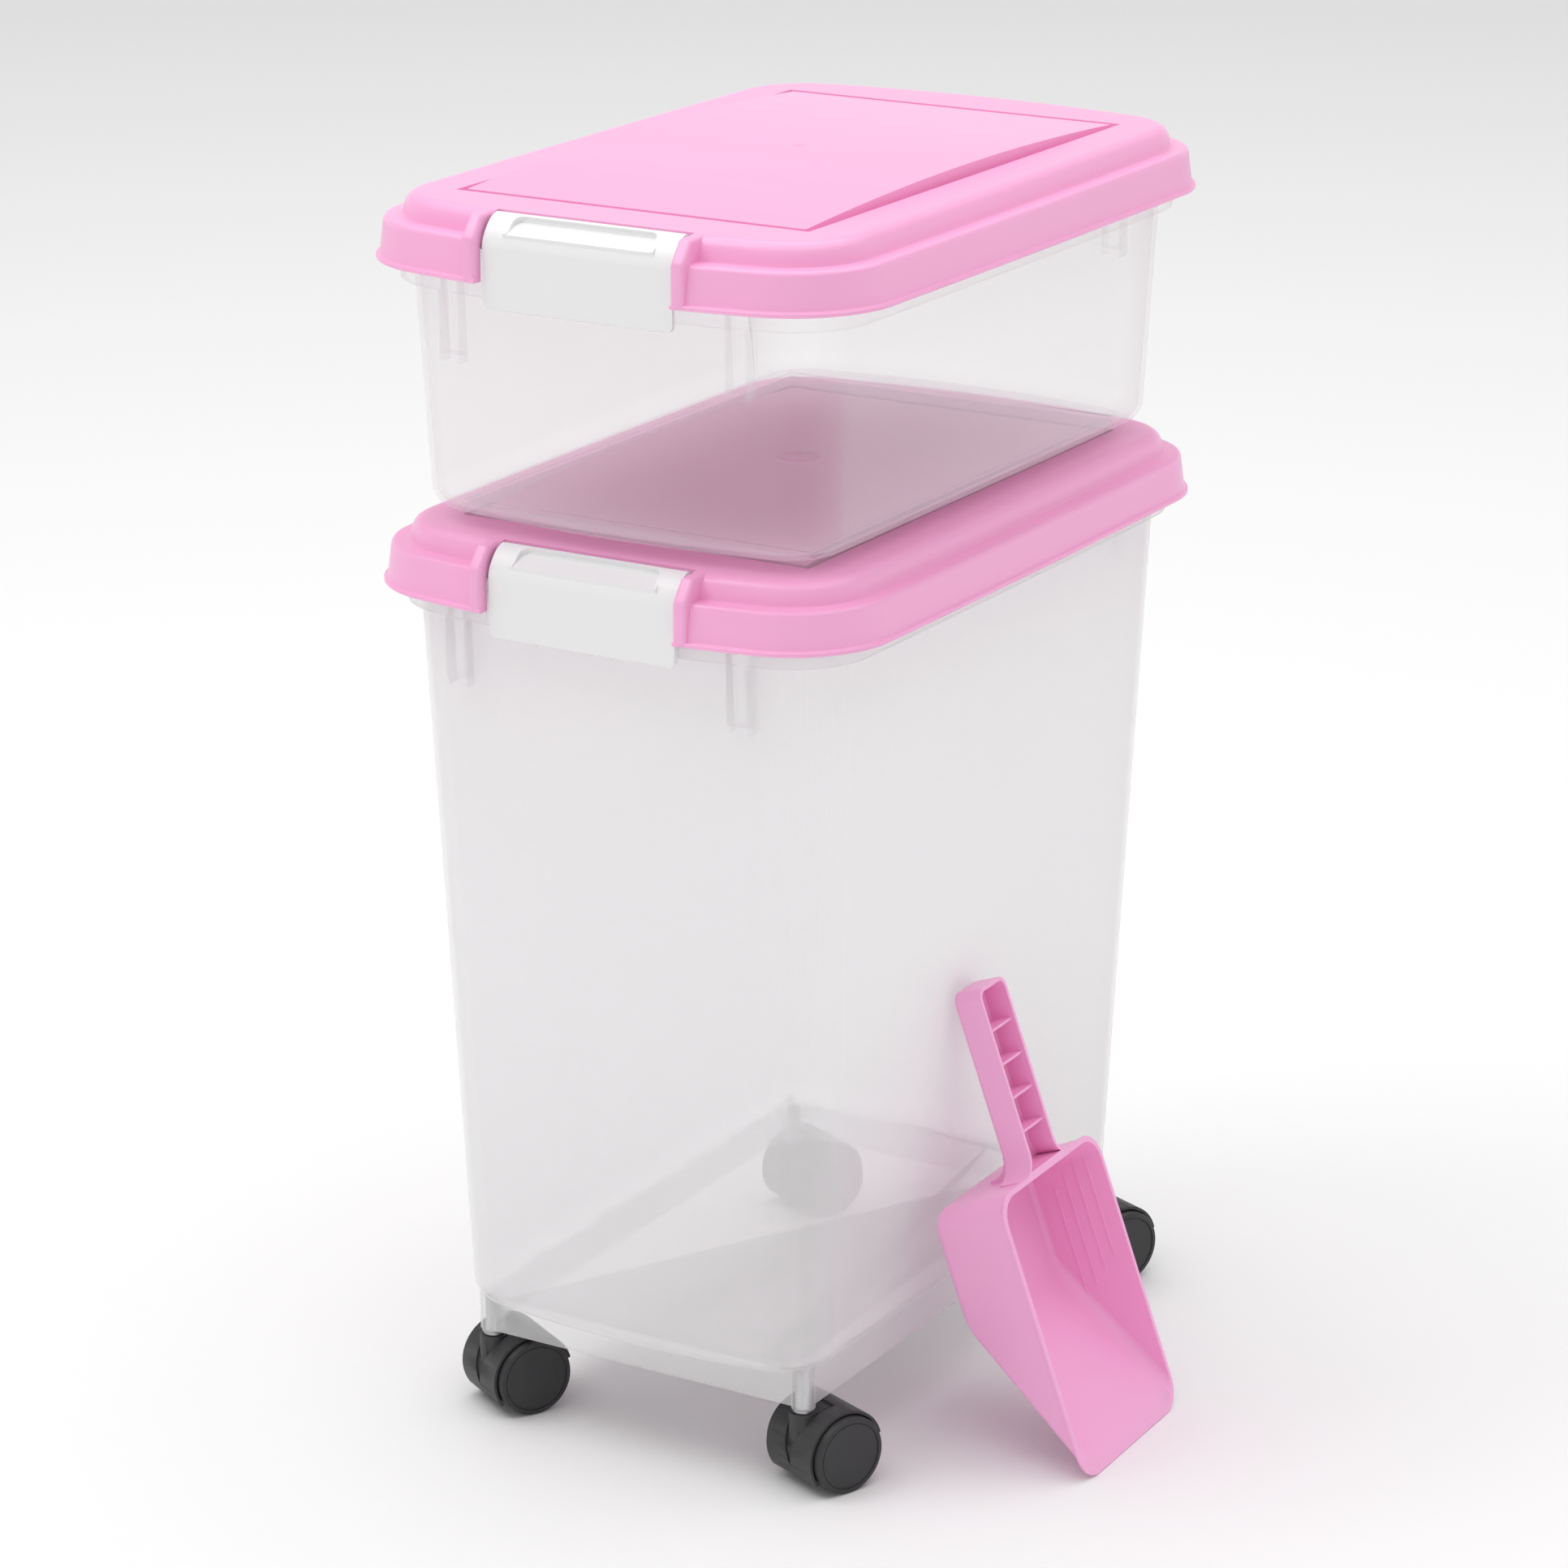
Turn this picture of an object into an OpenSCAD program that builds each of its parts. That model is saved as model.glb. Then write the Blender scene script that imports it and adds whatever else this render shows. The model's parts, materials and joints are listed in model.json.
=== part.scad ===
// Stacking pair of pet food bins: a tall bin on four twin-wheel casters, a shallow bin that
// stands in its lid, two latched lids with seals, and a scoop that leans on the tall bin.
// Millimetres, +Z up, z = 0 at the floor. The latches face -Y and the scoop stands on the +X side.

/* [Lids] */
// Width over the lid's lip
lid_w = 276.5; // [225:0.5:340]
// Length over the lid's lip
lid_l = 419; // [345:1:510]
// Radius of the lip's corners
lid_corner_r = 53; // [44:0.5:64]
// How far the lid's ends bow out between the corners
bow_end = 7; // [5:0.5:9]
// How far the lid's long sides bow out between the corners
bow_side = 1; // [0.5:0.1:2]
// Thickness of the lid's walls
lid_t = 2.2; // [1.8:0.1:2.7]
// Height of the flared lip
lip_h = 2.2; // [1.5:0.1:3]
// Height from the lip's lower edge to the step between skirt and shoulder
step_h = 20.4; // [17:0.1:24.5]
// Height of the shoulder, from the step to the flat border
shoulder_h = 11; // [9:0.1:13.5]
// Rise of the crowned panel at the middle of its length
crown_h = 5; // [4:0.1:6]
// Depth of the groove round the panel
groove_d = 3; // [2.5:0.1:3.6]

/* [Bins] */
// Height of the tall bin, from the foot's lower edge to the rim
tall_h = 410.8; // [340:0.1:500]
// Height of the shallow bin, from the foot's lower edge to the rim
shallow_h = 143.8; // [118:0.1:175]
// Thickness of the bins' walls and floors
wall = 2.2; // [1.8:0.1:2.7]
// Distance in from the lid's outline to the wall at the rim
rim_inset = 18.2; // [15.1:0.1:21.9]
// Distance in from the lid's outline to the tall bin's wall at its floor
tall_floor_inset = 33.5; // [27.9:0.1:40.2]
// Distance in from the lid's outline to the shallow bin's wall at its floor
shallow_floor_inset = 23.7; // [19.7:0.1:28.5]
// Corner radius of the walls
body_corner_r = 31; // [25.5:0.5:37.5]
// Radius between wall and floor
floor_r = 12; // [10:0.5:14.5]
// Distance in from the lid's outline to the rim flange's edge
flange_inset = 11.5; // [9.5:0.1:13.8]
// Height of the flange's turned-down edge
flange_h = 22.8; // [19:0.1:27.4]
// Width of a rib under the flange
rib_w = 11; // [8:0.5:14]
// How far a rib stands out of the wall
rib_proud = 5; // [4:0.1:6]
// How far a rib runs down below the flange
rib_drop = 31; // [20:1:40]

/* [Feet] */
// Distance in from the lid's side to the foot ring
foot_inset_x = 41.55; // [34.6:0.05:50]
// Distance in from the lid's end to the foot ring
foot_inset_y = 54; // [45:0.1:65]
// Thickness of the foot ring
foot_t = 2.5; // [2:0.1:3]
// Height of the tall bin's foot ring
tall_foot_h = 18; // [15:0.5:22]

/* [Latches] */
// Width of a latch
latch_w = 103.5; // [86:0.5:124.5]
// Thickness of a latch
latch_t = 2.2; // [1.8:0.1:2.7]
// How far a latch reaches below the rim flange
latch_hook = 3.4; // [2.8:0.1:4.1]
// Width of the lid's cheek on each side of a latch
cheek_w = 7; // [5.5:0.1:8.5]
// Radius of a latch's pivot pins
latch_pin_r = 2; // [1.6:0.1:2.4]

/* [Rear hinges] */
// Distance of each rear hinge from the middle
hinge_x = 60; // [50:1:72]
// Width of the lid's knuckle
knuckle_w = 11; // [9:0.5:13.5]
// Radius of the hinge pins
hinge_pin_r = 1.75; // [1.45:0.05:2.1]

/* [Casters] */
// Diameter of a wheel
wheel_d = 40; // [33:0.5:48]
// Width of a wheel
wheel_w = 13.3; // [11:0.1:16]
// Gap between the two wheels of a caster
wheel_gap = 16.4; // [13.6:0.1:20]
// Distance from the swivel's axis to the axle
trail = 13; // [10.5:0.5:16]
// Height of the stem socket's lower end above the top of the wheels
socket_clear = 2; // [1.5:0.1:5]
// Radius of the stem in its socket
stem_r = 4; // [3.3:0.1:4.8]
// Radius of the axle
axle_r = 2.5; // [2:0.1:3]
// Turn of each caster: front left, front right, rear left, rear right
caster_turn = [-29, -22, -25, -23];

/* [Scoop] */
// Width of the scoop over its rim
scoop_w = 108; // [90:0.5:130]
// Length of the scoop's mouth
scoop_l = 149; // [124:0.5:179]
// Depth of the bowl
scoop_d = 45; // [37.5:0.1:54]
// Length of the bowl's sloping front
slope_l = 83; // [69:0.5:100]
// Corner radius of the bowl's mouth
mouth_r = 14; // [11.5:0.1:17]
// Length of the handle
handle_l = 97.4; // [81:0.1:117]
// Width of the handle
handle_w = 28; // [23:0.5:34]
// Depth of the handle
handle_d = 16; // [13.3:0.1:19.2]
// Thickness of the scoop's walls
scoop_t = 2; // [1.6:0.1:2.4]
// Lean of the scoop from upright, in degrees
scoop_lean = 20; // [16:1:24]
// Place of the scoop along the bin's side
scoop_y = -24.5; // [-40:0.5:20]

/* [Clearances] */
// Radial clearance of pins, stems and axles that turn
run_gap = 0.05; // [0.03:0.01:0.08]
// Gap between pieces that move past each other
move_gap = 0.4; // [0.3:0.05:0.5]
// Gap between the foot ring and the side of the groove
foot_gap = 0.5; // [0.4:0.05:0.7]
// Gap between the foot ring and the lid's panel
panel_gap = 1; // [0.8:0.05:1.2]
// Gap between the foot ring and the groove's floor, and between the panel's crown and the bin's floor
stack_gap = 0.3; // [0.25:0.05:0.4]
// Gap between a latch and the lid's cheeks
latch_gap = 1.75; // [1:0.05:2.1]

/* [Hidden] */
CASTERS = ["front_left", "front_right", "rear_left", "rear_right"];

corner_steps = 8;
skin = 0.01;
over = 1;
$fn = 64;

// Foot rings and the groove that they stand in
foot_w = lid_w - 2 * foot_inset_x;
foot_l = lid_l - 2 * foot_inset_y;
shallow_foot_h = groove_d + crown_h;
groove_w = foot_gap + foot_t + panel_gap;
groove_out_w = foot_w + 2 * foot_gap;
groove_out_l = foot_l + 2 * foot_gap;
panel_w = groove_out_w - 2 * groove_w;
panel_l = groove_out_l - 2 * groove_w;

// Heights. A lid covers the rim by rim_in_lid, and its roof over the rim is roof_h up. A foot ring
// and a stem socket run foot_root up into the tub's round edge, and fixed pins sit press_gap clear.
lid_h = step_h + shoulder_h;
roof_h = step_h - lid_t;
seal_h = 4.4;
rim_in_lid = roof_h - seal_h - stack_gap;
socket_drop = 2;
foot_root = 6;
press_gap = 0.02;
caster_h = wheel_d + socket_clear;
tall_foot_z = caster_h + socket_drop;
tall_rim_z = tall_foot_z + tall_h;
tall_lid_z = tall_rim_z - rim_in_lid;
shallow_foot_z = tall_lid_z + lid_h - groove_d + stack_gap;
shallow_rim_z = shallow_foot_z + shallow_h;
shallow_lid_z = shallow_rim_z - rim_in_lid;

// Latch and the notch that it closes, measured from the lid's lip, front is -Y. The bead at the
// latch's lower edge passes the rim flange by bead_gap.
bead_reach = 2.9;
bead_gap = 0.6;
latch_barrel_r = 3.3;
front_y = -lid_l / 2;
latch_face_y = front_y + flange_inset - bead_gap - bead_reach;
latch_drop = flange_h - rim_in_lid + latch_hook;
latch_pivot = [front_y + 21.2, lid_h - 3.5];
notch_w = latch_w + 2 * latch_gap;
notch_back_y = latch_pivot[0] + 4.1;
notch_past = 0.5;
notch_floor_y = front_y + flange_inset + notch_past;
cheek_y = front_y + 3;
latch_bend_z = step_h - 3.4;
latch_pin_l = 3.8;

// Rear hinge, measured from the lid's lip
hinge_y = lid_l / 2 - 7;
hinge_drop = 4.2;
knuckle_r = 3.4;
ear_r = 3.6;
ear_t = 4;
ear_x = knuckle_w / 2 + move_gap;

// Caster, measured from the swivel's axis
wheel_r = wheel_d / 2;
socket_r = stem_r + 2;
stem_x = foot_w / 2 - socket_r + 1;
stem_y = foot_l / 2 - socket_r + 1;
hood_in_r = wheel_r + 0.9;
hood_out_r = hood_in_r + 1.5;
hood_half_w = wheel_gap / 2 + 9.6;
web_half_w = wheel_gap / 2 - 2.2;
boss_top = caster_h - 1.5;
boss_r = wheel_gap / 2 - 1;
pivot_r = 3;
pivot_z = wheel_r + 3.5;

// Scoop, measured along its own axes. The handle's back rests on the tall bin's side.
rim_edge = 1.5;
handle_rib_pitch = 17.8;
scoop_yaw = 1.5;
scoop_tilt = 90 - scoop_lean;
scoop_reach = cos(scoop_tilt) * (scoop_l + handle_l) + sin(scoop_tilt) * handle_d;
scoop_z = rim_edge * (sin(scoop_tilt) / 2 + cos(scoop_tilt));
scoop_top_z = scoop_z + sin(scoop_tilt) * (scoop_l + handle_l) - cos(scoop_tilt) * handle_d;
scoop_x = side_x(scoop_top_z) + scoop_reach + handle_w / 2 * sin(scoop_yaw) + move_gap;

// The whole set is centred on its footprint, so the bins stand a little to the -X side.
set_x = -(scoop_x + rim_edge - lid_w / 2) / 2;

// Half width of the tall bin at a height
function side_x(z) = lid_w / 2 - tall_floor_inset
  + (tall_floor_inset - rim_inset) * (z - tall_foot_z - tall_foot_h - floor_r)
  / (tall_h - tall_foot_h - floor_r);

// Radii of the bows, and how far an end falls back at a distance from the middle
end_r = (pow(lid_w / 2 - lid_corner_r, 2) + bow_end * bow_end) / (2 * bow_end);
side_r = (pow(lid_l / 2 - lid_corner_r, 2) + bow_side * bow_side) / (2 * bow_side);
function end_fall(x) = end_r - sqrt(end_r * end_r - x * x);

// A hinge ear reaches in through the flange, as far as the bowed end has fallen back at the ear
ear_root = hinge_y - lid_l / 2 + flange_inset + end_fall(hinge_x + ear_x + ear_t) + wall / 2;

// Quarter of the bowed outline, taken in by inset, with corners of radius r that touch both bows
function quarter(inset, r) =
  let (
    a = end_r - lid_l / 2,
    b = side_r - lid_w / 2,
    ra = end_r - inset - r,
    rb = side_r - inset - r,
    d = sqrt(a * a + b * b),
    u = (ra * ra - rb * rb + d * d) / (2 * d),
    v = sqrt(ra * ra - u * u),
    cx = (v * a - u * b) / d,
    cy = (u * a + v * b) / d - a,
    side_a = atan2(cy, cx + b),
    end_a = atan2(cy + a, cx)
  )
  concat(
    [
      for (k = [0:2])
        let (t = side_a * k / 3)
        [(side_r - inset) * cos(t) - b, (side_r - inset) * sin(t)]
    ],
    [
      for (k = [0:corner_steps])
        let (t = side_a + (end_a - side_a) * k / corner_steps)
        [cx + r * cos(t), cy + r * sin(t)]
    ],
    [
      for (k = [1:4])
        let (t = end_a + (90 - end_a) * k / 4)
        [(end_r - inset) * cos(t), (end_r - inset) * sin(t) - a]
    ]
  );

// Points of the whole bowed outline
function outline(inset, r) =
  let (q = quarter(inset, r), n = len(q) - 1)
  concat(
    q,
    [for (k = [n - 1:-1:0]) [-q[k][0], q[k][1]]],
    [for (k = [1:n]) [-q[k][0], -q[k][1]]],
    [for (k = [n - 1:-1:1]) [q[k][0], -q[k][1]]]
  );

// Points of a rectangle with round corners
function rounded(w, l, r) = [
  for (q = [0:3], k = [0:corner_steps])
    let (
      a = 90 * q + 90 * k / corner_steps,
      cx = (q == 0 || q == 3 ? 1 : -1) * (w / 2 - r),
      cy = (q < 2 ? 1 : -1) * (l / 2 - r)
    )
    [cx + r * cos(a), cy + r * sin(a)]
];

module plate(w, l, r, h) {
  linear_extrude(h) polygon(rounded(w, l, r));
}

// A plate of the lid's outline, taken in by inset
module lid_plate(inset, z, h) {
  translate([0, 0, z]) linear_extrude(h) polygon(outline(inset, lid_corner_r - inset));
}

// A plate of a bin's outline, taken in by inset, with the walls' corner radius less tight
module body_plate(inset, tight, z, h) {
  translate([0, 0, z]) linear_extrude(h) polygon(outline(inset, body_corner_r - tight));
}

module block(w, l, h) {
  translate([-w / 2, -l / 2, 0]) cube([w, l, h]);
}

module rect_ring(w, l, t, h) {
  difference() {
    block(w, l, h);
    translate([0, 0, -over]) block(w - 2 * t, l - 2 * t, h + 2 * over);
  }
}

module along_x(r, length) {
  rotate([0, 90, 0]) cylinder(r = r, h = length, center = true);
}

// Tapered tub with a round edge at its floor; grow takes the outline in for the hollow
module tub(grow, floor_inset, floor_z, top_inset, top_z, edge_r) {
  hull() {
    for (k = [0:3])
      body_plate(floor_inset + grow + edge_r * (1 - sin(30 * k)), grow + edge_r * (1 - sin(30 * k)),
        floor_z + edge_r * (1 - cos(30 * k)), skin);
    body_plate(top_inset + grow, grow, top_z - skin, skin);
  }
}

// Turned-down flange round a rim
module rim_flange(rim_z) {
  difference() {
    lid_plate(flange_inset, rim_z - flange_h, flange_h);
    lid_plate(flange_inset + wall, rim_z - flange_h - over, flange_h - wall + over);
  }
}

// Two ears at the rear that hold a hinge pin, reaching out of the flange
module hinge_ears(lid_z) {
  for (side = [-1, 1], ear = [-1, 1])
    translate([side * hinge_x + ear * (ear_x + ear_t / 2), hinge_y, lid_z - hinge_drop]) {
      along_x(ear_r, ear_t);
      translate([-ear_t / 2, -ear_root, -ear_r]) cube([ear_t, ear_root, 2 * ear_r]);
    }
}

module rim_ribs(rim_z) {
  rib_x = latch_w / 2 + cheek_w + 20;
  rib_y = lid_l / 2 - rim_inset - end_fall(rib_x) + rib_proud;
  rib_root = 20;
  for (side = [-1, 1], end = [-1, 1])
    translate([side * rib_x - rib_w / 2, end > 0 ? rib_y - rib_root : -rib_y, rim_z - flange_h - rib_drop])
      cube([rib_w, rib_root, flange_h + rib_drop - wall]);
}

// One bin. Its foot ring starts at foot_z and its rim is h higher.
module bin(foot_z, h, foot_h, floor_inset) {
  floor_z = foot_z + foot_h;
  rim_z = foot_z + h;
  lid_z = rim_z - rim_in_lid;
  difference() {
    union() {
      tub(0, floor_inset, floor_z, rim_inset, rim_z, floor_r);
      rim_flange(rim_z);
      rim_ribs(rim_z);
      hinge_ears(lid_z);
      translate([0, 0, foot_z]) rect_ring(foot_w, foot_l, foot_t, foot_h + foot_root);
      children();
    }
    tub(wall, floor_inset, floor_z + wall, rim_inset, rim_z + over, floor_r - wall);
    translate([0, hinge_y, lid_z - hinge_drop]) along_x(hinge_pin_r + press_gap, 2 * hinge_x + 40);
  }
}

module tall_bin() {
  color("whitesmoke", 0.6)
    difference() {
      bin(tall_foot_z, tall_h, tall_foot_h, tall_floor_inset)
        at_casters()
        translate([0, 0, caster_h])
        cylinder(r = socket_r, h = socket_drop + tall_foot_h + foot_root);
      at_casters() translate([0, 0, caster_h - over])
        cylinder(r = stem_r + press_gap, h = over + socket_drop + tall_foot_h);
    }
}

module shallow_bin() {
  color("white", 0.4)
    bin(shallow_foot_z, shallow_h, shallow_foot_h, shallow_floor_inset);
}

// Front or rear profile of the crowned panel, dropped by t and shortened by t at each end
module crown(w, t) {
  steps = 24;
  half = panel_l / 2;
  arc_r = (half * half + crown_h * crown_h) / (2 * crown_h);
  arc = [
    for (k = [-steps / 2:steps / 2])
      let (y = (half - t) * 2 * k / steps)
      [y, lid_h + crown_h - t - arc_r + sqrt(arc_r * arc_r - y * y)]
  ];
  rotate([90, 0, 90])
    linear_extrude(w, center = true)
      polygon(concat([[-half + t, lid_h - lid_t - 0.5]], arc, [[half - t, lid_h - lid_t - 0.5]]));
}

module cheek_profile() {
  rotate([90, 0, 90])
    linear_extrude(cheek_w)
      polygon([
        [notch_back_y + lid_t, lid_h],
        [cheek_y + 8, lid_h],
        [cheek_y, step_h],
        [cheek_y, 0],
        [cheek_y + 6, 0],
        [cheek_y + 6, roof_h],
        [notch_back_y + lid_t, roof_h]
      ]);
}

module cheeks() {
  translate([notch_w / 2, 0, 0]) cheek_profile();
  translate([-notch_w / 2 - cheek_w, 0, 0]) cheek_profile();
}

module lid_outside() {
  lid_plate(0, 0, lip_h);
  hull() {
    lid_plate(1.8, lip_h - 0.1, skin);
    lid_plate(3.8, step_h - 2.4, skin);
    lid_plate(4.6, step_h - 0.8, skin);
    lid_plate(6.4, step_h - skin, skin);
  }
  hull() {
    lid_plate(12.5, step_h - 1, skin);
    lid_plate(13.2, lid_h - 6.9, skin);
    lid_plate(14.8, lid_h - 3.4, skin);
    lid_plate(17.6, lid_h - 0.8, skin);
    lid_plate(21, lid_h - skin, skin);
  }
  cheeks();
}

module lid_hollow() {
  difference() {
    hull() {
      lid_plate(1.8 + lid_t, -over, skin);
      lid_plate(3.8 + lid_t - 0.2, roof_h - skin, skin);
    }
    cheeks();
  }
  difference() {
    hull() {
      lid_plate(15, roof_h - over, skin);
      lid_plate(15.6, lid_h - 6.4, skin);
      lid_plate(19.5, lid_h - lid_t - skin, skin);
    }
    translate([-notch_w / 2 - cheek_w, front_y - over, roof_h])
      cube([notch_w + 2 * cheek_w, notch_back_y + lid_t - front_y + over, lid_h]);
    translate([0, 0, lid_h - groove_d - lid_t])
      rect_ring(groove_out_w + 2 * lid_t, groove_out_l + 2 * lid_t, groove_w + 2 * lid_t, lid_h);
  }
}

module lid_knuckles() {
  for (side = [-1, 1])
    translate([side * hinge_x, hinge_y, -hinge_drop]) {
      along_x(knuckle_r, knuckle_w);
      translate([-knuckle_w / 2, -knuckle_r, 0]) cube([knuckle_w, 2 * knuckle_r, hinge_drop + lip_h / 2]);
    }
}

// A lid, with its lip's lower edge at z = 0
module lid() {
  difference() {
    union() {
      lid_outside();
      crown(panel_w, 0);
      lid_knuckles();
    }
    lid_hollow();
    crown(panel_w - 2 * lid_t, lid_t);
    translate([0, 0, lid_h - groove_d])
      rect_ring(groove_out_w, groove_out_l, groove_w, groove_d + over);
    translate([-notch_w / 2, front_y - over, step_h])
      cube([notch_w, notch_back_y - front_y + over, lid_h]);
    translate([-notch_w / 2, front_y - over, -over])
      cube([notch_w, notch_floor_y - front_y + over, lid_h]);
    translate([0, latch_pivot[0], latch_pivot[1]])
      along_x(latch_pin_r + run_gap, latch_w + 2 * latch_pin_l + 1);
    translate([0, hinge_y, -hinge_drop]) along_x(hinge_pin_r + run_gap, 2 * hinge_x + 2 * knuckle_w);
  }
}

module tall_lid() {
  color("pink") translate([0, 0, tall_lid_z]) lid();
}

module shallow_lid() {
  color("pink") translate([0, 0, shallow_lid_z]) lid();
}

// Seal in the lid, over the flange
module seal(lid_z) {
  color("gainsboro")
    difference() {
      lid_plate(flange_inset + 0.5, lid_z + roof_h - seal_h, seal_h);
      lid_plate(flange_inset + 3.8, lid_z + roof_h - seal_h - over, seal_h + 2 * over);
    }
}

module tall_lid_seal() {
  seal(tall_lid_z);
}

module shallow_lid_seal() {
  seal(shallow_lid_z);
}

// Latch: a round shoulder that runs from the pivot into a flat front, with a short bead at its edge
module latch_profile() {
  turns = 10;
  out_y = latch_pivot[0] - latch_face_y;
  out_z = lid_h - latch_bend_z;
  polygon(concat(
    [
      for (k = [0:turns])
        let (a = 90 * k / turns)
        [latch_pivot[0] - out_y * sin(a), latch_bend_z + out_z * cos(a)]
    ],
    [
      [latch_face_y, -latch_drop + 0.8],
      [latch_face_y + 0.8, -latch_drop],
      [latch_face_y + bead_reach, -latch_drop],
      [latch_face_y + bead_reach, -latch_drop + 2.6],
      [latch_face_y + latch_t, -latch_drop + 3.5]
    ],
    [
      for (k = [0:turns])
        let (a = 90 - 90 * k / turns)
        [latch_pivot[0] - (out_y - latch_t) * sin(a), latch_bend_z + (out_z - latch_t) * cos(a)]
    ]
  ));
}

module latch(lid_z) {
  color("white")
    translate([0, 0, lid_z]) {
      difference() {
        union() {
          rotate([90, 0, 90]) linear_extrude(latch_w, center = true) latch_profile();
          translate([0, latch_pivot[0], latch_pivot[1]]) along_x(latch_barrel_r, latch_w);
        }
        for (side = [-1, 1])
          translate([side * latch_w / 2, latch_face_y - over, -latch_drop])
            rotate([-90, 0, 0])
            linear_extrude(8)
            polygon([[side * over, over], [side * over, -6], [-side * 0.2, -6], [-side * 1, -3],
              [-side * 3, -1], [-side * 6, -0.2], [-side * 6, over]]);
      }
      translate([0, latch_pivot[0], latch_pivot[1]]) along_x(latch_pin_r, latch_w + 2 * latch_pin_l);
    }
}

module tall_latch() {
  latch(tall_lid_z);
}

module shallow_latch() {
  latch(shallow_lid_z);
}

// Two short pins, one in each rear hinge
module hinge_pins(lid_z) {
  color("silver")
    for (side = [-1, 1])
      translate([side * hinge_x, hinge_y, lid_z - hinge_drop])
        along_x(hinge_pin_r, 2 * (ear_x + ear_t));
}

module tall_hinge_pins() {
  hinge_pins(tall_lid_z);
}

module shallow_hinge_pins() {
  hinge_pins(shallow_lid_z);
}

// The bowl's outside, taken in by t on every side for its hollow
module bowl_solid(t) {
  back_in = 4;
  side_in = 5.8;
  edge = 4;
  mid_y = (slope_l + scoop_l - back_in) / 2;
  hull() {
    translate([0, scoop_l / 2, t > 0 ? over : -skin])
      plate(scoop_w - 2 * t, scoop_l - 2 * t, mouth_r - t, skin);
    translate([0, mid_y, -scoop_d + t])
      plate(scoop_w - 2 * side_in - 2 * t, scoop_l - slope_l - back_in - t, mouth_r - edge - t, skin);
    translate([0, mid_y - 1.5, -scoop_d + t + edge])
      plate(scoop_w - 2 * side_in + 5 - 2 * t, scoop_l - slope_l + 3 - 2 * t, mouth_r - 1 - t, skin);
  }
}

// Scoop on its own axes: mouth in the XY plane facing +Z, tip at y = 0, handle towards +Y
module scoop_shape() {
  difference() {
    union() {
      bowl_solid(0);
      translate([0, scoop_l / 2, -rim_edge])
        plate(scoop_w + rim_edge, scoop_l + rim_edge, mouth_r + rim_edge / 2, rim_edge);
      translate([-handle_w / 2, scoop_l - 6, -handle_d]) cube([handle_w, handle_l + 6, handle_d]);
    }
    bowl_solid(scoop_t);
    translate([-handle_w / 2 + scoop_t, scoop_l + scoop_t, -handle_d + scoop_t])
      cube([handle_w - 2 * scoop_t, handle_l - 2 * scoop_t, handle_d]);
  }
  for (k = [1:4])
    translate([-handle_w / 2 + 1, scoop_l + handle_l - 5 - k * handle_rib_pitch - 0.8, -handle_d + 1])
      cube([handle_w - 2, 1.6, handle_d - 3]);
}

module scoop() {
  color("hotpink")
    translate([scoop_x, scoop_y, scoop_z])
      rotate([0, 0, scoop_yaw])
      rotate([0, scoop_tilt, 0])
      rotate([0, 0, 90])
      scoop_shape();
}

module at_casters() {
  for (x = [-1, 1], y = [-1, 1])
    translate([x * stem_x, y * stem_y, 0]) children();
}

// Puts children at caster number i, turned to its heading, with the trail towards +Y
module at_caster(i) {
  translate([(i % 2 == 0 ? -1 : 1) * stem_x, (i < 2 ? -1 : 1) * stem_y, 0])
    rotate([0, 0, caster_turn[i]])
    children();
}

module caster_stem() {
  color("silver") {
    translate([0, 0, caster_h]) cylinder(r = stem_r, h = socket_drop + tall_foot_h - 1.5);
    translate([0, 0, caster_h - 1.1]) cylinder(r = stem_r + 1.5, h = 1.1);
    translate([0, 0, pivot_z + 0.5]) cylinder(r = pivot_r, h = caster_h - pivot_z);
  }
}

// Hood: an arch over both wheels, split by a V at the front, round a web that carries the pivot
module caster_hood() {
  color("dimgray")
    difference() {
      union() {
        difference() {
          translate([0, trail, wheel_r]) along_x(hood_out_r, 2 * hood_half_w);
          translate([0, trail, wheel_r]) along_x(hood_in_r, 2 * hood_half_w + over);
          translate([0, trail, wheel_r])
            rotate([90, 0, 90])
            linear_extrude(2 * hood_half_w + over, center = true)
            polygon([
              [0, 0],
              for (a = [216, 250, 285, 320, 345, 375]) 2 * hood_out_r * [cos(a), sin(a)]
            ]);
          rotate([90, 0, 0])
            linear_extrude(4 * boss_r, center = true)
            polygon([[0, wheel_r - 7], [boss_r + 1.8, caster_h + 4], [-boss_r - 1.8, caster_h + 4]]);
        }
        translate([0, trail, wheel_r]) along_x(wheel_r - 3, 2 * web_half_w);
        intersection() {
          translate([0, trail, wheel_r]) along_x(hood_in_r + 0.5, 2 * web_half_w);
          translate([-web_half_w, -hood_out_r, wheel_r - 8]) cube([2 * web_half_w, 2 * hood_out_r + trail, 40]);
        }
        translate([0, 0, pivot_z - 3]) cylinder(r = boss_r, h = boss_top - pivot_z + 3);
      }
      translate([0, 0, pivot_z]) cylinder(r = pivot_r + run_gap, h = 40);
      translate([0, trail, wheel_r]) along_x(axle_r + run_gap, 60);
      for (side = [-1, 1])
        translate([side * (web_half_w + 0.6 + 20), trail, wheel_r]) along_x(hood_in_r, 40);
    }
}

module caster_axle() {
  color("silver")
    translate([0, trail, wheel_r]) along_x(axle_r, wheel_gap + 2 * wheel_w - 3);
}

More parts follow.
